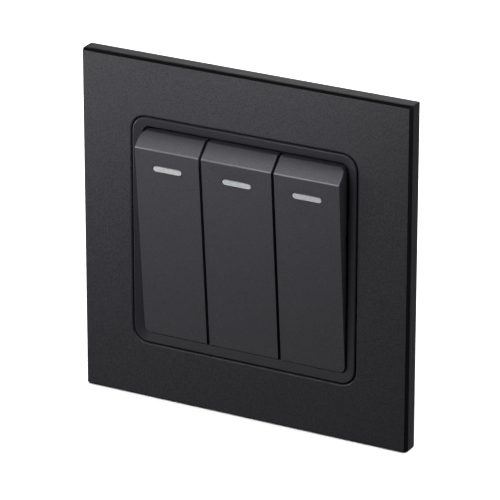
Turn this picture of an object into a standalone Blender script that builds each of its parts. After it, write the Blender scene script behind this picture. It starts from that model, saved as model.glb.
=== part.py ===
"""Three-gang rocker light switch with a square clip-on cover plate, 86 x 86 mm.

Frame: the origin is the centre of the cover plate on the wall plane, +X to the right as seen
from the room, +Y into the wall, +Z up. The three rockers are modelled with their tops out.
"""

import math

import bmesh
import bpy
from mathutils import Matrix, Vector

MM = 0.001

# Cover plate
PLATE = 86.0 * MM
PLATE_DEPTH = 4.6 * MM
PLATE_CORNER = 0.3 * MM
PANEL_THICKNESS = 1.0 * MM
PANEL_EDGE_SLOPE = 0.4 * MM
FRAME_WALL = 2.0 * MM
FRAME_WEB = 1.2 * MM
OPENING = (59.6 * MM, 57.9 * MM)
OPENING_CORNER = 4.0 * MM
OPENING_CHAMFER = 0.25 * MM
CLIP_OFFSET = 20.0 * MM
CLIP_LEG = (8.0 * MM, 1.2 * MM)
BEZEL_CLIP = (6.0 * MM, 1.0 * MM)
PRISE_NOTCH = (8.0 * MM, 1.0 * MM)
CLIP_LEG_REAR = -0.2 * MM

# Clearances
GAP = 0.3 * MM
FIT = 0.1 * MM
BEARING_CLEARANCE = 0.12 * MM

# Bezel round the rockers
BEZEL_INSIDE = (54.2 * MM, 52.6 * MM)
BEZEL_INSIDE_CORNER = 2.0 * MM
BEZEL_SLOPE = 0.7 * MM
BEZEL_LIP = 0.3 * MM
BEZEL_NOTCH_FRONT = 1.7 * MM
BEZEL_CLIP_REAR = 1.1 * MM

# Steel yoke and its fixing screws, at the 60.3 mm centres of a wall box
YOKE = 71.0 * MM
YOKE_CORNER = 3.0 * MM
YOKE_THICKNESS = 1.2 * MM
YOKE_WINDOW = (55.8 * MM, 56.8 * MM)
FIXING_CENTRES = 60.3 * MM
FIXING_SLOT_WIDTH = 4.0 * MM
FIXING_SLOT_LENGTH = 7.0 * MM
EAR_HEIGHT = 13.0 * MM
EAR_INSIDE = 26.4 * MM
RIVET_OFFSET = 31.8 * MM
SCREW_HEAD_WAY = 4.3 * MM
SCREW_HEAD_WAY_OUT = 4.2 * MM
RIVET_HOLE_RADIUS = 1.3 * MM

# Rockers
ROCKER_HEIGHT = 51.4 * MM
ROCKER_GAP = 0.75 * MM
ROCKER_WIDTHS = {"left": 16.85 * MM, "centre": 18.3 * MM, "right": 16.85 * MM}
ROCKER_CORNER = 1.5 * MM
ROCKER_TILT = math.radians(4.7)
PIVOT_Y = -1.0 * MM
FACE_REACH = 5.28 * MM
CHAMFER_HEIGHT = 2.94 * MM
CHAMFER_DEPTH = 3.61 * MM
CAP = 1.4 * MM
SKIRT = 1.2 * MM
HUB = (10.0 * MM, 6.8 * MM)
HUB_REACH = 4.0 * MM
BORE_ROOF = 0.5 * MM
ARCH = (-2.75 * MM, 8.0 * MM, 13.0 * MM)
SKIRT_REAR = 8.0 * MM
TRUNNION_RADIUS = 1.3 * MM
BORE_RADIUS = 2.1 * MM
INDICATOR = (7.5 * MM, 1.3 * MM)
INDICATOR_BELOW_CREASE = 4.7 * MM
INDICATOR_DEPTH = 0.7 * MM
INDICATOR_SUNK = 0.02 * MM
INDICATOR_CLEARANCE = 0.2 * MM

# Contact gear of one gang
PLUNGER_REACH = 9.5 * MM
PLUNGER_RADIUS = 1.8 * MM
PLUNGER_TIP_RADIUS = 1.3 * MM
PLUNGER_HEAD = 0.5 * MM
PLUNGER_NECK = (5.0 * MM, 5.8 * MM)
SPRING_WIRE = 0.2 * MM
SPRING_RADIUS = 1.5 * MM
SPRING_TURNS = 4
LEVER_PIVOT_Y = 9.75 * MM
LEVER_TILT = math.radians(5.7)
LEVER = (5.2 * MM, 19.2 * MM)
LEVER_THICKNESS = 0.8 * MM
LEVER_CLEARANCE = 0.15 * MM
SADDLE = (1.2 * MM, 1.8 * MM)
SADDLE_HEIGHT = 0.5 * MM
KNIFE_EDGE_CLEARANCE = 0.2 * MM
KNIFE_EDGE = 1.0 * MM
CONTACT_OFFSET = 8.4 * MM
CONTACT_RADIUS = 1.4 * MM
CONTACT_HEIGHT = 0.5 * MM
STRIP_FRONT = 11.75 * MM
STRIP_THICKNESS = 0.8 * MM
BLOCK = (6.2 * MM, 6.0 * MM)
BLOCK_REAR = 18.0 * MM
BLOCK_HEIGHT = 15.0 * MM
WIRE_Y = 14.8 * MM
WIRE_RADIUS = 1.6 * MM
TERMINAL_SCREW_HOLE = 1.55 * MM

# Terminal strips: distances from the gang's centre in X, and from mid-height in Z
STRIP_IN_BLOCK = 0.7 * MM
PAD_Z = (6.9 * MM, 9.9 * MM)
PAD_HALF = 2.4 * MM
LINE_1_LEG = (3.3 * MM, 5.7 * MM)
LONG_LEG = (5.4 * MM, 7.4 * MM)
SEAT = (2.2 * MM, 1.5 * MM)
FOOT_X = 2.8 * MM
FOOT_Z = (0.4 * MM, 1.4 * MM)

# Screws and rivets
SCREW_EDGE = 0.3 * MM
SCREW_POINT = 0.5 * MM
SCREW_DRIVE_DEPTH = 0.7 * MM
RIVET_RADII = (1.15 * MM, 2.1 * MM)
RIVET_EDGES = (0.4 * MM, 0.5 * MM)
RIVET_HEADS = (0.5 * MM, 0.8 * MM)

# Moulded body: the cradle carries the rockers, the housing behind it holds the terminals
CRADLE = 68.0 * MM
CRADLE_FLOOR = (1.6 * MM, 3.2 * MM)
CHAMBER = (11.2 * MM, 34.0 * MM)
TOWER_WALL = 1.2 * MM
TOWER_FRONT = -1.8 * MM
TOWER_EAR_FRONT = -3.7 * MM
TOWER_EAR_WIDTH = 6.8 * MM
LUG_WAY = 8.0 * MM
LUG_WAY_INSIDE = EAR_INSIDE + 1.4 * MM
HOUSING_REAR = 20.3 * MM
HOUSING_REAR_WALL = 1.8 * MM
HOUSING_CHAMBER = (16.4 * MM, 36.8 * MM)
HOUSING_WALL = 1.2 * MM
HOUSING_END_WALL = 1.6 * MM
HOUSING_CORNER = 1.5 * MM
LINE_DIVIDER = (2.0 * MM, 11.6 * MM)
COMMON_RIB_X = (3.5 * MM, 4.5 * MM)
COMMON_RIB_Z = 12.2 * MM
HOUSING_SCREW = (24.0 * MM, 23.0 * MM)
HOUSING_EAR = (6.0 * MM, 2.5 * MM)
HOUSING_SCREW_HOLE = 1.4 * MM
LINE_OFFSET = 4.5 * MM
SCREW_ACCESS_RADIUS = 2.9 * MM
WIRE_ENTRY = 4.6 * MM

FRONT = -PLATE_DEPTH
SIDES = (-1, 1)
CORNER_STEPS = 5
OVERLAP = 0.5 * MM
ROUND = 12


def half(size):
    return size[0] / 2, size[1] / 2


# ---------------------------------------------------------------- looks of each material


def material(name, color, roughness, metallic=0.0):
    found = bpy.data.materials.get(name) or bpy.data.materials.new(name)
    found.use_nodes = True
    shader = found.node_tree.nodes["Principled BSDF"]
    shader.inputs["Base Color"].default_value = (*color, 1.0)
    shader.inputs["Roughness"].default_value = roughness
    shader.inputs["Metallic"].default_value = metallic
    found.diffuse_color = (*color, 1.0)
    return found


def palette():
    return {
        "anthracite": material("anthracite", (0.045, 0.045, 0.050), 0.55),
        "frame_grey": material("frame_grey", (0.060, 0.060, 0.066), 0.50),
        "rocker_grey": material("rocker_grey", (0.040, 0.040, 0.046), 0.50),
        "lens": material("lens", (0.62, 0.66, 0.68), 0.25),
        "steel": material("steel", (0.60, 0.60, 0.61), 0.35, 1.0),
        "brass": material("brass", (0.72, 0.54, 0.25), 0.30, 1.0),
        "white_plastic": material("white_plastic", (0.78, 0.78, 0.75), 0.45),
        "acetal": material("acetal", (0.85, 0.84, 0.80), 0.35),
    }


# ---------------------------------------------------------------- shape helpers


def finish(name, mesh, look):
    bmesh.ops.recalc_face_normals(mesh, faces=mesh.faces)
    data = bpy.data.meshes.new(name)
    mesh.to_mesh(data)
    mesh.free()
    data.materials.append(look)
    data.shade_smooth()
    data.set_sharp_from_angle(angle=math.radians(30))
    piece = bpy.data.objects.new(name, data)
    bpy.context.scene.collection.objects.link(piece)
    return piece


def rounded_outline(half_x, half_z, radius):
    """Points of a rounded rectangle in X and Z, anticlockwise as seen from the room."""
    points = []
    for quarter, (sx, sz) in enumerate([(1, 1), (-1, 1), (-1, -1), (1, -1)]):
        for step in range(CORNER_STEPS + 1):
            angle = math.radians(90) * (quarter + step / CORNER_STEPS)
            x = sx * (half_x - radius) + radius * math.cos(angle)
            z = sz * (half_z - radius) + radius * math.sin(angle)
            points.append((x, z))
    return points


def picture_frame(name, sections, look):
    """A closed ring whose cross-section is walked by rounded rectangles (half X, half Z, radius, Y)."""
    mesh = bmesh.new()
    loops = []
    for half_x, half_z, radius, y in sections:
        outline = rounded_outline(half_x, half_z, radius)
        loops.append([mesh.verts.new((x, y, z)) for x, z in outline])
    for first, second in zip(loops, loops[1:] + loops[:1]):
        for i in range(len(first)):
            j = (i + 1) % len(first)
            mesh.faces.new((first[i], first[j], second[j], second[i]))
    return finish(name, mesh, look)


def prism_y(name, outline, y_from, y_to, look):
    """A solid whose X-Z outline is carried from y_from to y_to."""
    mesh = bmesh.new()
    face = mesh.faces.new([mesh.verts.new((x, y_from, z)) for x, z in outline])
    out = bmesh.ops.extrude_face_region(mesh, geom=[face])
    moved = [item for item in out["geom"] if isinstance(item, bmesh.types.BMVert)]
    bmesh.ops.translate(mesh, verts=moved, vec=(0, y_to - y_from, 0))
    return finish(name, mesh, look)


def prism_x(name, outline, x_from, x_to, look):
    """A solid whose Y-Z outline is carried from x_from to x_to."""
    mesh = bmesh.new()
    face = mesh.faces.new([mesh.verts.new((x_from, y, z)) for y, z in outline])
    out = bmesh.ops.extrude_face_region(mesh, geom=[face])
    moved = [item for item in out["geom"] if isinstance(item, bmesh.types.BMVert)]
    bmesh.ops.translate(mesh, verts=moved, vec=(x_to - x_from, 0, 0))
    return finish(name, mesh, look)


def block(name, low, high, look):
    outline = [(low[0], low[2]), (high[0], low[2]), (high[0], high[2]), (low[0], high[2])]
    return prism_y(name, outline, low[1], high[1], look)


def rod(name, centre, radius, length, axis, look):
    """A round bar that starts at centre and runs for length along axis."""
    mesh = bmesh.new()
    bmesh.ops.create_cone(
        mesh, cap_ends=True, segments=ROUND, radius1=radius, radius2=radius, depth=length
    )
    direction = Vector(axis).normalized()
    turn = direction.to_track_quat("Z", "Y").to_matrix().to_4x4()
    middle = Vector(centre) + direction * length / 2
    bmesh.ops.transform(mesh, matrix=Matrix.Translation(middle) @ turn, verts=mesh.verts)
    return finish(name, mesh, look)


def turned(name, profile, look):
    """A solid of revolution about the Y axis. The profile lists (radius, y) with both ends on the axis."""
    mesh = bmesh.new()
    points = [mesh.verts.new((radius, y, 0)) for radius, y in profile]
    edges = [mesh.edges.new(pair) for pair in zip(points, points[1:])]
    bmesh.ops.spin(
        mesh, geom=points + edges, axis=(0, 1, 0), cent=(0, 0, 0), angle=math.tau, steps=ROUND
    )
    bmesh.ops.remove_doubles(mesh, verts=mesh.verts, dist=0.001 * MM)
    return finish(name, mesh, look)


def stadium(centre_x, centre_z, width, length, vertical):
    """Outline of a slot with round ends."""
    radius = width / 2
    reach = length / 2 - radius
    points = []
    for end in (1, -1):
        for step in range(CORNER_STEPS + 1):
            angle = math.pi * step / CORNER_STEPS + (0 if end > 0 else math.pi)
            across = radius * math.cos(angle)
            along = end * reach + radius * math.sin(angle)
            points.append((across, along) if vertical else (-along, across))
    return [(centre_x + x, centre_z + z) for x, z in points]


def combine(piece, tool, operation):
    modifier = piece.modifiers.new(tool.name, "BOOLEAN")
    modifier.operation = operation
    modifier.solver = "EXACT"
    modifier.object = tool
    with bpy.context.temp_override(object=piece, active_object=piece, selected_objects=[piece]):
        bpy.ops.object.modifier_apply(modifier=modifier.name)
    bpy.data.objects.remove(tool, do_unlink=True)
    return piece


def add(piece, *tools):
    for tool in tools:
        combine(piece, tool, "UNION")
    return piece


def cut(piece, *tools):
    for tool in tools:
        combine(piece, tool, "DIFFERENCE")
    return piece


def smooth_rounds(piece):
    piece.data.shade_smooth()
    piece.data.set_sharp_from_angle(angle=math.radians(30))
    return piece


def carry(piece, parent):
    piece.parent = parent
    return piece


def pivot(name, location, tilt):
    """An empty on a hinge axis, turned about X by tilt."""
    empty = bpy.data.objects.new(name, None)
    empty.empty_display_size = 4 * MM
    empty.location = location
    empty.rotation_euler = (tilt, 0, 0)
    bpy.context.scene.collection.objects.link(empty)
    return empty


# ---------------------------------------------------------------- cover plate


def build_front_panel(looks):
    outer = PLATE / 2
    face = outer - PANEL_EDGE_SLOPE
    hx, hz = half(OPENING)
    rear = FRONT + PANEL_THICKNESS
    wide = OPENING_CHAMFER
    return picture_frame(
        "front_panel",
        [
            (face, face, PLATE_CORNER, FRONT),
            (outer, outer, PLATE_CORNER, rear),
            (hx, hz, OPENING_CORNER, rear),
            (hx, hz, OPENING_CORNER, FRONT + wide),
            (hx + wide, hz + wide, OPENING_CORNER + wide, FRONT),
        ],
        looks["anthracite"],
    )


def build_plate_frame(looks):
    outer = PLATE / 2
    inner = outer - FRAME_WALL
    hx, hz = half(OPENING)
    hx, hz = hx + 2 * GAP, hz + 2 * GAP
    front = FRONT + PANEL_THICKNESS + GAP
    web_rear = front + FRAME_WEB
    corner = OPENING_CORNER + 2 * GAP
    frame = picture_frame(
        "plate_frame",
        [
            (outer, outer, PLATE_CORNER, front),
            (outer, outer, PLATE_CORNER, 0),
            (inner, inner, PLATE_CORNER, 0),
            (inner, inner, PLATE_CORNER, web_rear),
            (hx, hz, corner, web_rear),
            (hx, hz, corner, front),
        ],
        looks["frame_grey"],
    )
    leg_inside = YOKE / 2 + 2 * GAP
    for sx in SIDES:
        for sz in SIDES:
            low_z, high_z = sorted((sz * leg_inside, sz * (leg_inside + CLIP_LEG[1])))
            x = sx * CLIP_OFFSET
            low = (x - CLIP_LEG[0] / 2, web_rear - GAP, low_z)
            high = (x + CLIP_LEG[0] / 2, CLIP_LEG_REAR, high_z)
            add(frame, block("clip_leg", low, high, looks["frame_grey"]))
        far = FIXING_CENTRES / 2 + SCREW_HEAD_WAY_OUT
        low_x, high_x = sorted((sx * (hx - MM), sx * far))
        low = (low_x, front - MM, -SCREW_HEAD_WAY)
        high = (high_x, web_rear + OVERLAP, SCREW_HEAD_WAY)
        cut(frame, block("screw_head_way", low, high, looks["frame_grey"]))
    low = (-PRISE_NOTCH[0] / 2, -PRISE_NOTCH[1], -outer - MM)
    high = (PRISE_NOTCH[0] / 2, MM, -inner + OVERLAP)
    cut(frame, block("prise_notch", low, high, looks["frame_grey"]))
    return smooth_rounds(frame)


# ---------------------------------------------------------------- bezel and yoke


def build_bezel(looks):
    hx, hz = half(OPENING)
    hx, hz = hx - GAP, hz - GAP
    corner = OPENING_CORNER - GAP
    ix, iz = half(BEZEL_INSIDE)
    rear = -YOKE_THICKNESS - GAP
    lip = BEZEL_LIP
    slope = FRONT + BEZEL_SLOPE
    bezel = picture_frame(
        "module_bezel",
        [
            (hx - lip, hz - lip, corner - lip, FRONT),
            (hx, hz, corner, FRONT + lip),
            (hx, hz, corner, rear),
            (ix, iz, BEZEL_INSIDE_CORNER, rear),
            (ix, iz, BEZEL_INSIDE_CORNER, slope),
        ],
        looks["anthracite"],
    )
    for sx in SIDES:
        low_x, high_x = sorted((sx * (ix - 2 * MM), sx * (hx + MM)))
        low = (low_x, FRONT + BEZEL_NOTCH_FRONT, -SCREW_HEAD_WAY)
        high = (high_x, rear + MM, SCREW_HEAD_WAY)
        cut(bezel, block("screw_head_notch", low, high, looks["anthracite"]))
        for sz in SIDES:
            low_z, high_z = sorted((sz * (iz + GAP), sz * (iz + GAP + BEZEL_CLIP[1])))
            x = sx * CLIP_OFFSET
            low = (x - BEZEL_CLIP[0] / 2, rear - OVERLAP, low_z)
            high = (x + BEZEL_CLIP[0] / 2, BEZEL_CLIP_REAR, high_z)
            add(bezel, block("bezel_clip", low, high, looks["anthracite"]))
    return smooth_rounds(bezel)


def window_outline(extra=0.0):
    """The yoke's window: a rectangle pinched on each side by the ear that holds a fixing slot."""
    hx, hz = half(YOKE_WINDOW)
    hx, hz = hx + extra, hz + extra
    ear = EAR_INSIDE + extra
    step = EAR_HEIGHT / 2
    right = [(hx, -hz), (hx, -step), (ear, -step), (ear, step), (hx, step), (hx, hz)]
    left = [(-x, -z) for x, z in right]
    return right + left


def build_yoke(looks):
    steel = looks["steel"]
    edge = YOKE / 2
    outline = rounded_outline(edge, edge, YOKE_CORNER)
    yoke = prism_y("mounting_yoke", outline, -YOKE_THICKNESS, 0, steel)
    reach = (-YOKE_THICKNESS - MM, MM)
    cut(yoke, prism_y("window", window_outline(), *reach, steel))
    for sx in SIDES:
        slot = stadium(
            sx * FIXING_CENTRES / 2, 0, FIXING_SLOT_WIDTH, FIXING_SLOT_LENGTH, vertical=True
        )
        cut(yoke, prism_y("fixing_slot", slot, *reach, steel))
        for sz in SIDES:
            start = (sx * RIVET_OFFSET, reach[0], sz * RIVET_OFFSET)
            cut(yoke, rod("rivet_hole", start, RIVET_HOLE_RADIUS, 4 * MM, (0, 1, 0), steel))
    return smooth_rounds(yoke)


# ---------------------------------------------------------------- moulded body


def gang_centres():
    side = ROCKER_WIDTHS["centre"] / 2 + ROCKER_GAP + ROCKER_WIDTHS["left"] / 2
    return {"left": -side, "centre": 0.0, "right": side}


def build_cradle(looks):
    plastic = looks["white_plastic"]
    floor_front, floor_rear = CRADLE_FLOOR
    edge = CRADLE / 2
    front = GAP
    cradle = prism_y(
        "rocker_cradle", rounded_outline(edge, edge, YOKE_CORNER), front, floor_rear, plastic
    )
    cut(cradle, prism_y("well", window_outline(GAP), front - MM, floor_front, plastic))
    for sx in SIDES:
        low_x, high_x = sorted((sx * LUG_WAY_INSIDE, sx * (edge + MM)))
        low = (low_x, front - MM, -LUG_WAY / 2)
        high = (high_x, floor_rear + MM, LUG_WAY / 2)
        cut(cradle, block("lug_way", low, high, plastic))
        for sz in SIDES:
            rivet = (sx * RIVET_OFFSET, -MM, sz * RIVET_OFFSET)
            cut(cradle, rod("rivet_hole", rivet, RIVET_HOLE_RADIUS, 6 * MM, (0, 1, 0), plastic))
            screw = (sx * HOUSING_SCREW[0], -MM, sz * HOUSING_SCREW[1])
            hole = rod("screw_hole", screw, HOUSING_SCREW_HOLE, 6 * MM, (0, 1, 0), plastic)
            cut(cradle, hole)
    inner_x, inner_z = half(CHAMBER)
    for x in gang_centres().values():
        outer_x, outer_z = inner_x + TOWER_WALL, inner_z + TOWER_WALL
        low = (x - outer_x, TOWER_FRONT, -outer_z)
        high = (x + outer_x, floor_rear - GAP, outer_z)
        add(cradle, block("tower", low, high, plastic))
        low = (x - outer_x, TOWER_EAR_FRONT, -TOWER_EAR_WIDTH / 2)
        high = (x + outer_x, TOWER_FRONT + MM, TOWER_EAR_WIDTH / 2)
        add(cradle, block("bearing_ears", low, high, plastic))
        low = (x - inner_x, TOWER_EAR_FRONT - MM, -inner_z)
        high = (x + inner_x, floor_rear + MM, inner_z)
        cut(cradle, block("chamber", low, high, plastic))
        start = (x - outer_x - MM, PIVOT_Y, 0)
        hole = TRUNNION_RADIUS + BEARING_CLEARANCE
        length = 2 * (outer_x + MM)
        cut(cradle, rod("bearing_hole", start, hole, length, (1, 0, 0), plastic))
    return smooth_rounds(cradle)


def terminal_places(x):
    """X and Z of the three terminal blocks of the gang centred on x."""
    return {
        "line_1": (x - LINE_OFFSET, BLOCK_HEIGHT),
        "line_2": (x + LINE_OFFSET, BLOCK_HEIGHT),
        "common": (x, -BLOCK_HEIGHT),
    }


def build_housing(looks):
    plastic = looks["white_plastic"]
    front = CRADLE_FLOOR[1] + GAP
    inner_x, inner_z = half(HOUSING_CHAMBER)
    centres = gang_centres()
    half_x = centres["right"] + inner_x + HOUSING_WALL
    half_z = inner_z + HOUSING_END_WALL
    outline = rounded_outline(half_x, half_z, HOUSING_CORNER)
    housing = prism_y("terminal_housing", outline, front, HOUSING_REAR, plastic)
    for sx in SIDES:
        for sz in SIDES:
            x, z = sx * HOUSING_SCREW[0], sz * HOUSING_SCREW[1]
            ear, ear_depth = HOUSING_EAR[0] / 2, HOUSING_EAR[1]
            low_z, high_z = sorted((sz * (half_z - MM), z + sz * ear))
            low = (x - ear, front, low_z)
            high = (x + ear, front + ear_depth, high_z)
            add(housing, block("screw_ear", low, high, plastic))
            start = (x, front - MM, z)
            hole = rod("ear_hole", start, HOUSING_SCREW_HOLE, 5 * MM, (0, 1, 0), plastic)
            cut(housing, hole)
    floor = HOUSING_REAR - HOUSING_REAR_WALL
    for x in centres.values():
        low = (x - inner_x, front - MM, -inner_z)
        high = (x + inner_x, floor, inner_z)
        cut(housing, block("chamber", low, high, plastic))
        rib_front = STRIP_FRONT + STRIP_THICKNESS + 2 * GAP
        low = (x - LINE_DIVIDER[0] / 2, rib_front, LINE_DIVIDER[1])
        high = (x + LINE_DIVIDER[0] / 2, floor + MM, inner_z + OVERLAP)
        add(housing, block("line_divider", low, high, plastic))
        for sx in SIDES:
            low_x, high_x = sorted(x + sx * edge for edge in COMMON_RIB_X)
            low = (low_x, rib_front, -inner_z - OVERLAP)
            high = (high_x, floor + MM, -COMMON_RIB_Z)
            add(housing, block("common_rib", low, high, plastic))
        for place_x, place_z in terminal_places(x).values():
            start = (place_x, floor - MM, place_z)
            access = rod("screw_access", start, SCREW_ACCESS_RADIUS, 4 * MM, (0, 1, 0), plastic)
            cut(housing, access)
            end = math.copysign(1, place_z)
            low_z, high_z = sorted((end * (inner_z - MM), end * (half_z + MM)))
            low = (place_x - WIRE_ENTRY / 2, WIRE_Y - WIRE_ENTRY / 2, low_z)
            high = (place_x + WIRE_ENTRY / 2, WIRE_Y + WIRE_ENTRY / 2, high_z)
            cut(housing, block("wire_entry", low, high, plastic))
    return smooth_rounds(housing)


# ---------------------------------------------------------------- terminals


def build_terminal(name, place, strip_outline, looks):
    """A brass block with its wire bore and screw hole, and the flat strip that leads to the contacts."""
    brass = looks["brass"]
    x, z = place
    hx, hz = half(BLOCK)
    strip_rear = STRIP_FRONT + STRIP_THICKNESS
    terminal = prism_y(name, strip_outline, STRIP_FRONT, strip_rear, brass)
    low = (x - hx, strip_rear - STRIP_THICKNESS / 2, z - hz)
    add(terminal, block("block", low, (x + hx, BLOCK_REAR, z + hz), brass))
    bore = (x, WIRE_Y, z - hz - MM)
    cut(terminal, rod("wire_bore", bore, WIRE_RADIUS, 2 * (hz + MM), (0, 0, 1), brass))
    screw_hole = (x, WIRE_Y, z)
    length = BLOCK_REAR - WIRE_Y + MM
    cut(terminal, rod("screw_hole", screw_hole, TERMINAL_SCREW_HOLE, length, (0, 1, 0), brass))
    return terminal


def add_fixed_contact(terminal, x, z, look):
    start = (x, STRIP_FRONT - CONTACT_HEIGHT, z)
    length = CONTACT_HEIGHT + STRIP_THICKNESS / 2
    add(terminal, rod("contact", start, CONTACT_RADIUS, length, (0, 1, 0), look))
    return smooth_rounds(terminal)


def build_terminals(side, x, looks):
    brass = looks["brass"]
    places = terminal_places(x)
    # The strips end inside their blocks, and each pad is centred on its contact.
    into_block = BLOCK_HEIGHT - BLOCK[1] / 2 + STRIP_IN_BLOCK
    pad_near, pad_far = PAD_Z
    leg_in, leg_out = LONG_LEG

    outline = [
        (x - LINE_1_LEG[1], into_block),
        (x - LINE_1_LEG[1], pad_near),
        (x + PAD_HALF, pad_near),
        (x + PAD_HALF, pad_far),
        (x - LINE_1_LEG[0], pad_far),
        (x - LINE_1_LEG[0], into_block),
    ]
    line_1 = build_terminal(f"line_1_terminal_{side}", places["line_1"], outline, looks)
    add_fixed_contact(line_1, x, CONTACT_OFFSET, brass)

    outline = [
        (x + leg_out, into_block),
        (x + leg_in, into_block),
        (x + leg_in, -pad_near),
        (x - PAD_HALF, -pad_near),
        (x - PAD_HALF, -pad_far),
        (x + leg_out, -pad_far),
    ]
    line_2 = build_terminal(f"line_2_terminal_{side}", places["line_2"], outline, looks)
    add_fixed_contact(line_2, x, -CONTACT_OFFSET, brass)

    seat_x, seat_z = SEAT
    foot_top, foot_low = -into_block + FOOT_Z[0], -into_block - FOOT_Z[1]
    outline = [
        (x - leg_out, seat_z),
        (x - leg_out, foot_low),
        (x + FOOT_X, foot_low),
        (x + FOOT_X, foot_top),
        (x - leg_in, foot_top),
        (x - leg_in, -seat_z),
        (x + seat_x, -seat_z),
        (x + seat_x, seat_z),
    ]
    common = build_terminal(f"common_terminal_{side}", places["common"], outline, looks)
    knife_edge = LEVER_PIVOT_Y + KNIFE_EDGE_CLEARANCE
    side_x = seat_x - KNIFE_EDGE_CLEARANCE
    low = (x - side_x, knife_edge, -KNIFE_EDGE / 2)
    high = (x + side_x, STRIP_FRONT + STRIP_THICKNESS / 2, KNIFE_EDGE / 2)
    smooth_rounds(add(common, block("knife_edge", low, high, brass)))


def build_screw(name, place, head_front, head_height, head_radius, shank, tip, slot, looks):
    """A screw along Y. Its head is at head_front, and its shank runs from the head to tip."""
    x, z = place
    steel = looks["steel"]
    out = math.copysign(1, head_front - tip)
    head_end = head_front + out * head_height
    edge = head_end - out * SCREW_EDGE
    profile = [
        (0, tip),
        (shank - SCREW_EDGE, tip),
        (shank, tip + out * SCREW_POINT),
        (shank, head_front),
        (head_radius, head_front),
        (head_radius, edge),
        (head_radius - SCREW_EDGE, head_end),
        (0, head_end),
    ]
    screw = turned(name, profile, steel)
    depth = sorted((head_end - out * SCREW_DRIVE_DEPTH, head_end + out * MM))
    reach = head_radius + MM
    low = (-slot / 2, depth[0], -reach)
    high = (slot / 2, depth[1], reach)
    cut(screw, block("drive_slot", low, high, steel))
    low = (-0.7 * head_radius, depth[0], -slot / 2)
    high = (0.7 * head_radius, depth[1], slot / 2)
    cut(screw, block("cross_slot", low, high, steel))
    screw.location = (x, 0, z)
    return smooth_rounds(screw)


def build_fasteners(looks):
    for side, x in gang_centres().items():
        for terminal, place in terminal_places(x).items():
            build_screw(
                f"{terminal}_screw_{side}",
                place,
                head_front=BLOCK_REAR + FIT,
                head_height=1.6 * MM,
                head_radius=2.5 * MM,
                shank=1.3 * MM,
                tip=16.0 * MM,
                slot=0.7 * MM,
                looks=looks,
            )
    for side, sx in (("left", -1), ("right", 1)):
        build_screw(
            f"fixing_screw_{side}",
            (sx * FIXING_CENTRES / 2, 0),
            head_front=-YOKE_THICKNESS - FIT,
            head_height=1.2 * MM,
            head_radius=3.0 * MM,
            shank=1.6 * MM,
            tip=22.0 * MM,
            slot=0.8 * MM,
            looks=looks,
        )
    names = {(-1, 1): "top_left", (1, 1): "top_right", (-1, -1): "low_left", (1, -1): "low_right"}
    for (sx, sz), corner in names.items():
        build_screw(
            f"housing_screw_{corner}",
            (sx * HOUSING_SCREW[0], sz * HOUSING_SCREW[1]),
            head_front=CRADLE_FLOOR[1] + GAP + HOUSING_EAR[1] + FIT,
            head_height=1.3 * MM,
            head_radius=2.2 * MM,
            shank=1.2 * MM,
            tip=1.8 * MM,
            slot=0.6 * MM,
            looks=looks,
        )
        shank, head = RIVET_RADII
        front = -YOKE_THICKNESS - FIT
        rear = CRADLE_FLOOR[1] + FIT
        profile = [
            (0, front - RIVET_HEADS[0]),
            (head - RIVET_EDGES[0], front - RIVET_HEADS[0]),
            (head, front),
            (shank, front),
            (shank, rear),
            (head, rear),
            (head - RIVET_EDGES[1], rear + RIVET_HEADS[1]),
            (0, rear + RIVET_HEADS[1]),
        ]
        rivet = turned(f"yoke_rivet_{corner}", profile, looks["steel"])
        rivet.location = (sx * RIVET_OFFSET, 0, sz * RIVET_OFFSET)


# ---------------------------------------------------------------- rockers and contact gear


def rocker_profile(inset):
    """Y-Z outline of a rocker about its pivot: flat face, sloping top end, deep skirt at both ends."""
    top = ROCKER_HEIGHT / 2 - inset
    face = -FACE_REACH + (CAP if inset else 0)
    lean = CHAMFER_DEPTH / CHAMFER_HEIGHT
    cap_shift = CAP * (math.hypot(1, lean) - lean) if inset else 0
    crease = ROCKER_HEIGHT / 2 - CHAMFER_HEIGHT - cap_shift
    chamfer_end = face + (top - crease) * lean
    if inset:
        far = SKIRT_REAR
        return [(face, crease), (chamfer_end, top), (far, top), (far, -top), (face, -top)]
    arch, arch_end, arch_rise = ARCH
    return [
        (face, crease),
        (chamfer_end, top),
        (0, top),
        (0, arch_rise),
        (arch, arch_end),
        (arch, -arch_end),
        (0, -arch_rise),
        (0, -top),
        (face, -top),
    ]


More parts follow.
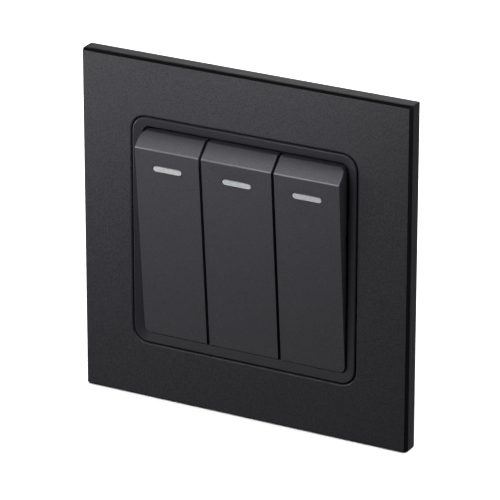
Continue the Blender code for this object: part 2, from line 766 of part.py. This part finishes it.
def build_rocker(side, x, looks):
    grey = looks["rocker_grey"]
    width = ROCKER_WIDTHS[side]
    hub_x, hub_z = half(HUB)
    rocker = prism_x(f"rocker_{side}", rocker_profile(0), -width / 2, width / 2, grey)
    if side != "centre":
        corner = prism_y("corners", end_outline(side), -10 * MM, 10 * MM, grey)
        combine(rocker, corner, "INTERSECT")
    inside = width / 2 - SKIRT
    cut(rocker, prism_x("hollow", rocker_profile(SKIRT), -inside, inside, grey))
    under_cap = -FACE_REACH + CAP
    low = (-hub_x, under_cap - OVERLAP, -hub_z)
    add(rocker, block("hub", low, (hub_x, HUB_REACH, hub_z), grey))
    pin = CHAMBER[0] / 2 + TOWER_WALL - FIT
    add(rocker, rod("trunnions", (-pin, 0, 0), TRUNNION_RADIUS, 2 * pin, (1, 0, 0), grey))
    bore_front = under_cap + BORE_ROOF
    length = HUB_REACH + MM - bore_front
    cut(rocker, rod("bore", (0, bore_front, 0), BORE_RADIUS, length, (0, 1, 0), grey))
    window_z = ROCKER_HEIGHT / 2 - CHAMFER_HEIGHT - INDICATOR_BELOW_CREASE
    clear = INDICATOR_CLEARANCE
    pocket = stadium(0, window_z, INDICATOR[1] + 2 * clear, INDICATOR[0] + 2 * clear, False)
    pocket_rear = -FACE_REACH + INDICATOR_DEPTH + clear
    cut(rocker, prism_y("pocket", pocket, -FACE_REACH - MM, pocket_rear, grey))
    smooth_rounds(rocker)
    lens = stadium(0, window_z, INDICATOR[1], INDICATOR[0], False)
    lens_front = -FACE_REACH + INDICATOR_SUNK
    lens_rear = -FACE_REACH + INDICATOR_DEPTH
    indicator = prism_y(f"indicator_{side}", lens, lens_front, lens_rear, looks["lens"])
    hinge = pivot(f"rocker_pivot_{side}", (x, PIVOT_Y, 0), ROCKER_TILT)
    for piece in (rocker, indicator, build_plunger(side, looks), build_spring(side, looks)):
        carry(piece, hinge)


def end_outline(side):
    """Front outline of an outer rocker: its two corners on the bezel's side are round."""
    sign = -1 if side == "left" else 1
    hx, hz = ROCKER_WIDTHS[side] / 2, ROCKER_HEIGHT / 2
    far = hx + MM
    arc = [(x, z) for x, z in rounded_outline(hx, hz, ROCKER_CORNER) if sign * x > 0]
    arc.sort(key=lambda point: -point[1] * sign)
    return arc + [(-sign * far, arc[-1][1]), (-sign * far, arc[0][1])]


def build_plunger(side, looks):
    tip = PLUNGER_TIP_RADIUS
    steps = 3
    dome = [
        (tip * math.cos(angle), PLUNGER_REACH - tip + tip * math.sin(angle))
        for angle in (math.radians(90) * i / steps for i in range(1, steps))
    ]
    profile = [
        (0, PLUNGER_HEAD),
        (PLUNGER_RADIUS, PLUNGER_HEAD),
        (PLUNGER_RADIUS, PLUNGER_NECK[0]),
        (tip, PLUNGER_NECK[1]),
        (tip, PLUNGER_REACH - tip),
        *dome,
        (0, PLUNGER_REACH),
    ]
    return turned(f"plunger_{side}", profile, looks["acetal"])


def build_spring(side, looks):
    """A closed helix of round wire between the end of the hub's bore and the plunger."""
    start = -FACE_REACH + CAP + BORE_ROOF + SPRING_WIRE + FIT
    end = PLUNGER_HEAD - SPRING_WIRE - FIT
    per_turn, around = 10, 5
    mesh = bmesh.new()
    rings = []
    count = SPRING_TURNS * per_turn
    rise = (end - start) / (math.tau * SPRING_TURNS)
    for i in range(count + 1):
        turn = math.tau * i / per_turn
        outward = Vector((math.cos(turn), 0, math.sin(turn)))
        centre = outward * SPRING_RADIUS + Vector((0, start + rise * turn, 0))
        forward = Vector((-math.sin(turn) * SPRING_RADIUS, rise, math.cos(turn) * SPRING_RADIUS))
        across = outward.cross(forward.normalized())
        ring = []
        for j in range(around):
            angle = math.tau * j / around
            offset = outward * math.cos(angle) + across * math.sin(angle)
            ring.append(mesh.verts.new(centre + SPRING_WIRE * offset))
        rings.append(ring)
    for first, second in zip(rings, rings[1:]):
        for j in range(around):
            k = (j + 1) % around
            mesh.faces.new((first[j], first[k], second[k], second[j]))
    mesh.faces.new(rings[0])
    mesh.faces.new(rings[-1])
    return finish(f"plunger_spring_{side}", mesh, looks["steel"])


def build_moving_contact(side, x, looks):
    """The see-saw lever that the plunger presses over its knife edge, with a contact at each end."""
    brass = looks["brass"]
    hx, hz = half(LEVER)
    rear = -LEVER_CLEARANCE
    front = rear - LEVER_THICKNESS
    weld = LEVER_THICKNESS / 4
    lever = block(f"moving_contact_{side}", (-hx, front, -hz), (hx, rear, hz), brass)
    for sz in SIDES:
        low_z, high_z = sorted(sz * edge for edge in SADDLE)
        low = (-hx, rear - weld, low_z)
        high = (hx, rear + SADDLE_HEIGHT, high_z)
        add(lever, block("saddle", low, high, brass))
        start = (0, rear - weld, sz * CONTACT_OFFSET)
        length = CONTACT_HEIGHT + weld
        add(lever, rod("contact", start, CONTACT_RADIUS, length, (0, 1, 0), brass))
    carry(smooth_rounds(lever), pivot(f"contact_pivot_{side}", (x, LEVER_PIVOT_Y, 0), -LEVER_TILT))


# ---------------------------------------------------------------- the whole switch


def clear_scene():
    for old in list(bpy.data.objects):
        bpy.data.objects.remove(old, do_unlink=True)


def main():
    clear_scene()
    looks = palette()
    build_front_panel(looks)
    build_plate_frame(looks)
    build_bezel(looks)
    build_yoke(looks)
    build_cradle(looks)
    build_housing(looks)
    build_fasteners(looks)
    for side, x in gang_centres().items():
        build_terminals(side, x, looks)
        build_rocker(side, x, looks)
        build_moving_contact(side, x, looks)


main()
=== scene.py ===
"""Looks of the three-gang rocker light switch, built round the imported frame."""

import math

import bmesh
import bpy
from mathutils import Matrix, Vector


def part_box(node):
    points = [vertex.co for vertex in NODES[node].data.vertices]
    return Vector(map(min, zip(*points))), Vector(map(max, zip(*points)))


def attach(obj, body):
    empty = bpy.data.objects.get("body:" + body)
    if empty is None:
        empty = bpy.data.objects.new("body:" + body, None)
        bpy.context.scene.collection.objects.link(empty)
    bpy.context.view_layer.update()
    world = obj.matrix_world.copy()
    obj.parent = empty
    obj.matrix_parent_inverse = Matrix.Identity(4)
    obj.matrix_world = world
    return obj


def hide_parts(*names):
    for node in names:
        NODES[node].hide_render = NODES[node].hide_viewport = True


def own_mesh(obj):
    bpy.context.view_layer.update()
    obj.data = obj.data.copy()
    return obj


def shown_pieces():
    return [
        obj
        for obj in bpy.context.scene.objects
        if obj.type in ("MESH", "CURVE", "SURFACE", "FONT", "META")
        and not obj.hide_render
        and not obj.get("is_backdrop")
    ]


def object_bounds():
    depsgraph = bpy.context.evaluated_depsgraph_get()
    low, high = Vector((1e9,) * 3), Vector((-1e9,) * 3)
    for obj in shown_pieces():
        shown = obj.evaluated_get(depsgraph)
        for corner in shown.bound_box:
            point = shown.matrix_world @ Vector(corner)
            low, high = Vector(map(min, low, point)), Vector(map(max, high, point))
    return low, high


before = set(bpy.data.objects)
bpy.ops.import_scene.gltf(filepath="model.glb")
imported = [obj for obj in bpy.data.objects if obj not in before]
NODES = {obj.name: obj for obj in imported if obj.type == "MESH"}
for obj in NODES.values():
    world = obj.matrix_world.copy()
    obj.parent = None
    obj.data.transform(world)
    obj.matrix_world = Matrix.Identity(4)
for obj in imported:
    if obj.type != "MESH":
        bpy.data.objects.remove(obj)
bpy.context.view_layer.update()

MM = 0.001
SIDES = ("left", "centre", "right")
ROCKER_SKINS = [f"rocker_{side}_skin" for side in SIDES]

# The middle of a noise's range, which spread() stretches to the range it is asked for.
NOISE_MIDDLE = (0.3, 0.7)
UNSTRETCHED = (1, 1, 1)

# Moulded plastic. Noise scales are per metre.
GRAIN_DETAIL, GRAIN_ROUGHNESS = 2.0, 0.6
DRIFT_SCALE, DRIFT_DETAIL = 260.0, 3.0
ROUGHNESS_DRIFT = 0.02
GRAIN_BUMP = 0.5

# Metal. Its drawn lines take their scale from the stretch of the coordinates.
LINES_SCALE, LINES_DETAIL, LINES_ROUGHNESS = 1.0, 3.0, 0.6
PLATING_SCALE, PLATING_DETAIL = 700.0, 4.0
PLATING_SHADE = 0.82
SMOOTHER, ROUGHER = 0.08, 0.10
LINES_BUMP = 0.4

# Bar windows.
LENS_DARK, LENS_LIGHT = (0.50, 0.52, 0.535), (0.66, 0.67, 0.68)
CLOUD_SCALE, CLOUD_DETAIL = 900.0, 3.0
PIT_SCALE, PIT_DETAIL = 4000.0, 2.0
PIT_BUMP, PIT_DEPTH = 0.3, 0.004 * MM
LENS_SUBSURFACE, LENS_SCATTER = 0.15, 0.5 * MM
LENS_ROUGHNESS = (0.22, 0.32)

# Refined copies of the CAD nodes.
WELD = 0.002 * MM
FLAT_ANGLE = math.radians(1.0)
SHARP_ANGLE = math.radians(30)
ROLLED_ANGLE = math.radians(28)
ROLLED_SEGMENTS = 3
PANEL_ROLL = 0.14 * MM
RIM_ROLL = 0.12 * MM
BEZEL_ROLL = 0.12 * MM
ROCKER_ROLL = 0.16 * MM
PANEL_EDGE_STRIP = 1.0 * MM
PANEL_EDGE_SLOPE = 0.6
CREST_REACH = 0.2 * MM
CREST_WIDTH, CREST_SEGMENTS = 0.22 * MM, 4
SECOND_MATERIAL = 1

# Stage, in metres.
FLOOR_HALF_SIZE = 6.0
FLOOR_GAP = 0.05 * MM
FLOOR_TONE, FLOOR_ROUGHNESS = 0.93, 0.9
DOME_RADIUS = 3.5
DOME_RINGS, DOME_SEGMENTS = 24, 48
WORLD_STRENGTH = 0.05

# Name, place, target, size in metres and power in watts.
OBJECT_LIGHTS = (
    ("plate_light", (-0.01, -0.09, 0.06), (-0.01, 0, 0.035), (0.06, 0.03), 0.062),
    ("left_light", (-0.14, -0.05, 0.02), (0, -0.006, 0), (0.10, 0.05), 0.112),
    ("low_fill", (-0.45, -0.75, -0.65), (0, 0, 0), (0.7, 0.7), 0.72),
    ("side_fill", (0.9, 0.0, 0.35), (0, 0, 0), (0.6, 0.6), 2.7),
    ("top_back", (-0.3, 1.2, 0.5), (0, 0, 0), (0.9, 0.9), 2.5),
    ("back_fill", (-0.3, 1.2, -0.25), (0, 0, 0), (0.9, 0.9), 7.0),
)
# It stands behind the plate's front, so the plate's top edge shades the rockers' sloping ends.
CREST_LIGHT = ("crest_light", (-0.01, 0.0025, 0.12), (-0.01, 0, 0.023), (0.16, 0.0125), 0.165)
FLOOR_LIGHT = ("floor_light", (0.0, 0.0, 2.5), (0, 0, 0), (8.0, 8.0), 560.0)

# Azimuth, elevation and roll in degrees.
CAMERA_ANGLES = (28.06, 22.24, 0.035)
# Right, up and back from the middle of the plate's front, in metres.
CAMERA_RIGHT, CAMERA_UP, CAMERA_BACK = 0.00168, 0.0001, 0.9453
# Focal length and sensor width in millimetres.
CAMERA_LENS, CAMERA_SENSOR = 291.24, 36.0
CAMERA_CLIP = (0.01, 50.0)


# ---------------------------------------------------------------- materials


def fresh(name):
    """A new material, its node tree and its Principled shader."""
    made = bpy.data.materials.new(name)
    made.use_nodes = True
    return made, made.node_tree, made.node_tree.nodes["Principled BSDF"]


def noise(tree, coords, scale, detail, roughness=0.5):
    node = tree.nodes.new("ShaderNodeTexNoise")
    node.inputs["Scale"].default_value = scale
    node.inputs["Detail"].default_value = detail
    node.inputs["Roughness"].default_value = roughness
    tree.links.new(coords, node.inputs["Vector"])
    return node.outputs["Fac"]


def spread(tree, value, low, high):
    """Maps the middle of a noise to the range low to high."""
    node = tree.nodes.new("ShaderNodeMapRange")
    node.inputs["From Min"].default_value = NOISE_MIDDLE[0]
    node.inputs["From Max"].default_value = NOISE_MIDDLE[1]
    node.inputs["To Min"].default_value = low
    node.inputs["To Max"].default_value = high
    tree.links.new(value, node.inputs["Value"])
    return node.outputs["Result"]


def shade_between(tree, value, dark, light):
    node = tree.nodes.new("ShaderNodeMix")
    node.data_type = "RGBA"
    node.inputs["A"].default_value = (*dark, 1.0)
    node.inputs["B"].default_value = (*light, 1.0)
    tree.links.new(value, node.inputs["Factor"])
    return node.outputs["Result"]


def bump(tree, shader, height, strength, distance):
    node = tree.nodes.new("ShaderNodeBump")
    node.inputs["Strength"].default_value = strength
    node.inputs["Distance"].default_value = distance
    tree.links.new(height, node.inputs["Height"])
    tree.links.new(node.outputs["Normal"], shader.inputs["Normal"])


def stretched(tree, factors):
    """Object coordinates scaled along each axis, for brushed and drawn finishes."""
    coords = tree.nodes.new("ShaderNodeTexCoord").outputs["Object"]
    node = tree.nodes.new("ShaderNodeMapping")
    node.inputs["Scale"].default_value = factors
    tree.links.new(coords, node.inputs["Vector"])
    return node.outputs["Vector"]


def plastic(name, color, roughness, grain, depth, variation, specular=0.5):
    """Moulded plastic: fine spark-eroded grain, slow roughness drift and slight colour mottling."""
    made, tree, shader = fresh(name)
    coords = stretched(tree, UNSTRETCHED)
    grains = noise(tree, coords, 1 / grain, GRAIN_DETAIL, GRAIN_ROUGHNESS)
    fine = spread(tree, grains, 0.0, 1.0)
    slow = noise(tree, coords, DRIFT_SCALE, DRIFT_DETAIL)
    dark = tuple(c * (1 - variation) for c in color)
    light = tuple(c * (1 + variation) for c in color)
    tree.links.new(shade_between(tree, fine, dark, light), shader.inputs["Base Color"])
    drift = spread(tree, slow, roughness - ROUGHNESS_DRIFT, roughness + ROUGHNESS_DRIFT)
    tree.links.new(drift, shader.inputs["Roughness"])
    shader.inputs["Specular IOR Level"].default_value = specular
    bump(tree, shader, fine, GRAIN_BUMP, depth)
    return made


def metal(name, color, roughness, factors, depth):
    """Rolled or turned metal: grain drawn out along one direction, with a mottled plating."""
    made, tree, shader = fresh(name)
    drawn = stretched(tree, factors)
    lines = noise(tree, drawn, LINES_SCALE, LINES_DETAIL, LINES_ROUGHNESS)
    spots = noise(tree, stretched(tree, UNSTRETCHED), PLATING_SCALE, PLATING_DETAIL)
    dark = tuple(c * PLATING_SHADE for c in color)
    tree.links.new(shade_between(tree, spots, dark, color), shader.inputs["Base Color"])
    drift = spread(tree, lines, roughness - SMOOTHER, roughness + ROUGHER)
    tree.links.new(drift, shader.inputs["Roughness"])
    shader.inputs["Metallic"].default_value = 1.0
    bump(tree, shader, lines, LINES_BUMP, depth)
    return made


def window_lens(name):
    """Milky translucent plastic of the bar windows, clouded and faintly pitted."""
    made, tree, shader = fresh(name)
    coords = stretched(tree, UNSTRETCHED)
    cloud = noise(tree, coords, CLOUD_SCALE, CLOUD_DETAIL)
    tone = shade_between(tree, cloud, LENS_DARK, LENS_LIGHT)
    tree.links.new(tone, shader.inputs["Base Color"])
    shader.inputs["Subsurface Weight"].default_value = LENS_SUBSURFACE
    shader.inputs["Subsurface Scale"].default_value = LENS_SCATTER
    tree.links.new(spread(tree, cloud, *LENS_ROUGHNESS), shader.inputs["Roughness"])
    bump(tree, shader, noise(tree, coords, PIT_SCALE, PIT_DETAIL), PIT_BUMP, PIT_DEPTH)
    return made


LOOKS = {
    "panel": plastic("panel_face", (0.0300, 0.0285, 0.0350), 0.55, 0.36 * MM, 0.012 * MM, 0.55),
    "panel_edge": plastic(
        "panel_edge", (0.0042, 0.0040, 0.0052), 0.42, 0.12 * MM, 0.004 * MM, 0.10, specular=0.3
    ),
    "rim": plastic("rim", (0.0480, 0.0460, 0.0555), 0.50, 0.30 * MM, 0.008 * MM, 0.40),
    "bezel": plastic("bezel_satin", (0.0285, 0.0270, 0.0335), 0.45, 0.26 * MM, 0.004 * MM, 0.28),
    "rocker": plastic("rocker_satin", (0.0510, 0.0490, 0.0580), 0.45, 0.28 * MM, 0.004 * MM, 0.32),
    # The crest's lighter colour is a painted highlight along each rocker's foremost edge.
    "crest": plastic("rocker_crest_painted_highlight", (0.135, 0.132, 0.145), 0.32, 0.20 * MM, 0.003 * MM, 0.12),
    "lens": window_lens("window_lens"),
    "moulding": plastic("white_moulding", (0.72, 0.72, 0.69), 0.42, 0.20 * MM, 0.010 * MM, 0.03),
    # Its dark colour is painted shade: the rocker cradle stands in for the shadow inside the
    # opening.
    "painted_shade_moulding": plastic(
        "painted_shade_moulding", (0.030, 0.029, 0.033), 0.5, 0.20 * MM, 0.010 * MM, 0.15
    ),
    "acetal": plastic("acetal", (0.82, 0.81, 0.76), 0.28, 0.30 * MM, 0.003 * MM, 0.03),
    "yoke": metal("zinc_yoke", (0.60, 0.60, 0.61), 0.36, (250, 250, 6000), 0.006 * MM),
    "screw": metal("zinc_screw", (0.64, 0.64, 0.65), 0.28, (5000, 400, 5000), 0.004 * MM),
    "brass": metal("stamped_brass", (0.74, 0.55, 0.26), 0.26, (300, 300, 5000), 0.004 * MM),
}


def cad_look(node):
    """The look of a CAD node, or None for a node that refined() replaces."""
    if node == "mounting_yoke":
        return "yoke"
    # The cradle's dark colour is painted shade for the gaps round the rockers.
    if node == "rocker_cradle":
        return "painted_shade_moulding"
    if node == "terminal_housing":
        return "moulding"
    if "screw" in node or "rivet" in node or "spring" in node:
        return "screw"
    if "terminal" in node or "moving_contact" in node:
        return "brass"
    if node.startswith("plunger"):
        return "acetal"
    if node.startswith("indicator"):
        return "lens"
    return None


# ---------------------------------------------------------------- visible pieces


def refined(node, body, look, width):
    """A copy of a CAD node with clean faces and rolled edges, which stands for the node."""
    data = NODES[node].data.copy()
    data.materials.clear()
    data.materials.append(LOOKS[look])
    mesh = bmesh.new()
    mesh.from_mesh(data)
    bmesh.ops.remove_doubles(mesh, verts=mesh.verts, dist=WELD)
    bmesh.ops.dissolve_limit(
        mesh, angle_limit=FLAT_ANGLE, verts=mesh.verts, edges=mesh.edges
    )
    mesh.to_mesh(data)
    mesh.free()
    data.shade_smooth()
    data.set_sharp_from_angle(angle=SHARP_ANGLE)
    piece = bpy.data.objects.new(f"{node}_skin", data)
    bpy.context.scene.collection.objects.link(piece)
    edge = piece.modifiers.new("rolled_edges", "BEVEL")
    edge.width = width
    edge.segments = ROLLED_SEGMENTS
    edge.limit_method = "ANGLE"
    edge.angle_limit = ROLLED_ANGLE
    edge.harden_normals = True
    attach(piece, body)
    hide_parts(node)
    return piece


def darken_panel_edge(piece):
    """The panel's outer rim slopes back and is a darker, smoother strip than its face."""
    data = piece.data
    data.materials.append(LOOKS["panel_edge"])
    low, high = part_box("front_panel")
    reach = (high.x - low.x) / 2 - PANEL_EDGE_STRIP
    for face in data.polygons:
        outside = max(abs(face.center.x), abs(face.center.z)) > reach
        if outside and abs(face.normal.y) < PANEL_EDGE_SLOPE:
            face.material_index = SECOND_MATERIAL


def paint_crest_highlight(piece):
    """Rounds the foremost edge of a rocker, where its sloping end meets its face, into a smoother
    strip whose lighter colour is a painted highlight.
    """
    data = piece.data
    data.materials.append(LOOKS["crest"])
    foremost = min(vertex.co.y for vertex in data.vertices) + CREST_REACH
    weights = data.attributes.new("bevel_weight_edge", "FLOAT", "EDGE")
    for edge in data.edges:
        if all(data.vertices[corner].co.y < foremost for corner in edge.vertices):
            weights.data[edge.index].value = 1.0
    crest = piece.modifiers.new("crest", "BEVEL")
    crest.width = CREST_WIDTH
    crest.segments = CREST_SEGMENTS
    crest.limit_method = "WEIGHT"
    crest.material = SECOND_MATERIAL
    crest.harden_normals = True
    # The crest is rounded before the other edges are rolled.
    piece.modifiers.move(1, 0)


def coil(side):
    """A plunger's spring, copied with a mesh of its own and carried by the plunger."""
    node = f"plunger_spring_{side}"
    data = NODES[node].data.copy()
    data.materials.clear()
    data.materials.append(LOOKS["screw"])
    piece = bpy.data.objects.new(f"{node}_coil", data)
    bpy.context.scene.collection.objects.link(piece)
    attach(piece, f"plunger_{side}")
    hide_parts(node)
    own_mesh(piece)


darken_panel_edge(refined("front_panel", "cover", "panel", PANEL_ROLL))
refined("plate_frame", "cover", "rim", RIM_ROLL)
refined("module_bezel", "base", "bezel", BEZEL_ROLL)
for side in SIDES:
    rocker = f"rocker_{side}"
    paint_crest_highlight(refined(rocker, rocker, "rocker", ROCKER_ROLL))
    coil(side)

for name, node in NODES.items():
    look = cad_look(name)
    if look:
        node.data.materials.clear()
        node.data.materials.append(LOOKS[look])


# ---------------------------------------------------------------- stage, lights and camera


def stage_floor():
    """A pale floor just under the object. Diffuse and glossy rays pass it and it has no shadow."""
    low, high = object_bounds()
    mesh = bmesh.new()
    bmesh.ops.create_grid(mesh, x_segments=1, y_segments=1, size=FLOOR_HALF_SIZE)
    data = bpy.data.meshes.new("floor")
    mesh.to_mesh(data)
    mesh.free()
    made, _, shader = fresh("pale_floor")
    shader.inputs["Base Color"].default_value = (FLOOR_TONE, FLOOR_TONE, FLOOR_TONE, 1.0)
    shader.inputs["Roughness"].default_value = FLOOR_ROUGHNESS
    data.materials.append(made)
    floor = bpy.data.objects.new("floor", data)
    floor.location = (0, 0, low.z - FLOOR_GAP)
    bpy.context.scene.collection.objects.link(floor)
    floor.visible_diffuse = False
    floor.visible_glossy = False
    floor.visible_shadow = False
    floor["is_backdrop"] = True
    return floor


def softbox(name, place, target, size, power, receivers):
    """An area light, hidden from the camera, that lights only its receivers."""
    light = bpy.data.lights.new(name, "AREA")
    light.shape = "RECTANGLE"
    light.size, light.size_y = size
    light.energy = power
    lamp = bpy.data.objects.new(name, light)
    lamp.location = place
    aim = Vector(target) - Vector(place)
    lamp.rotation_mode = "QUATERNION"
    lamp.rotation_quaternion = aim.to_track_quat("-Z", "Y")
    lamp.visible_camera = False
    bpy.context.scene.collection.objects.link(lamp)
    lamp.light_linking.receiver_collection = receivers


def group_of(name, members):
    group = bpy.data.collections.new(name)
    for member in members:
        group.objects.link(member)
    return group


def stand_camera():
    """The camera at the photo's angle, set out from the middle of the plate's front."""
    azimuth, elevation, roll = (math.radians(angle) for angle in CAMERA_ANGLES)
    sa, ca = math.sin(azimuth), math.cos(azimuth)
    se, ce = math.sin(elevation), math.cos(elevation)
    right = Vector((ca, sa, 0))
    up = Vector((-se * sa, se * ca, ce))
    back = Vector((sa * ce, -ca * ce, se))
    turned_right = right * math.cos(roll) + up * math.sin(roll)
    turned_up = up * math.cos(roll) - right * math.sin(roll)
    front = Vector((0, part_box("front_panel")[0].y, 0))
    place = front + turned_right * CAMERA_RIGHT + turned_up * CAMERA_UP + back * CAMERA_BACK
    data = bpy.data.cameras.new("camera")
    data.lens = CAMERA_LENS
    data.sensor_width = CAMERA_SENSOR
    data.clip_start, data.clip_end = CAMERA_CLIP
    camera = bpy.data.objects.new("camera", data)
    turn = Matrix((turned_right, turned_up, back)).transposed().to_4x4()
    camera.matrix_world = Matrix.Translation(place) @ turn
    bpy.context.scene.collection.objects.link(camera)
    bpy.context.scene.camera = camera


def stage_backdrop():
    """A pale dome far behind everything, seen only by the camera, so it lights nothing."""
    mesh = bmesh.new()
    bmesh.ops.create_uvsphere(
        mesh, u_segments=DOME_SEGMENTS, v_segments=DOME_RINGS, radius=DOME_RADIUS
    )
    data = bpy.data.meshes.new("backdrop")
    mesh.to_mesh(data)
    mesh.free()
    made, _, shader = fresh("pale_backdrop")
    shader.inputs["Base Color"].default_value = (0.0, 0.0, 0.0, 1.0)
    shader.inputs["Specular IOR Level"].default_value = 0.0
    shader.inputs["Emission Color"].default_value = (1.0, 1.0, 1.0, 1.0)
    shader.inputs["Emission Strength"].default_value = 1.0
    data.materials.append(made)
    dome = bpy.data.objects.new("backdrop", data)
    dome.visible_diffuse = False
    dome.visible_glossy = False
    dome.visible_transmission = False
    dome.visible_shadow = False
    bpy.context.scene.collection.objects.link(dome)
    dome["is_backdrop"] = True


stage_backdrop()
floor = stage_floor()
object_group = group_of("lit_object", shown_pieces())
rocker_group = group_of(
    "lit_rockers", [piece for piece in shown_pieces() if piece.name in ROCKER_SKINS]
)
floor_group = group_of("lit_floor", [floor])

for light in OBJECT_LIGHTS:
    softbox(*light, object_group)
softbox(*CREST_LIGHT, rocker_group)
softbox(*FLOOR_LIGHT, floor_group)

world = bpy.data.worlds.new("studio")
world.use_nodes = True
world.node_tree.nodes["Background"].inputs["Color"].default_value = (1, 1, 1, 1)
world.node_tree.nodes["Background"].inputs["Strength"].default_value = WORLD_STRENGTH
bpy.context.scene.world = world
bpy.context.scene.view_settings.view_transform = "Standard"

stand_camera()
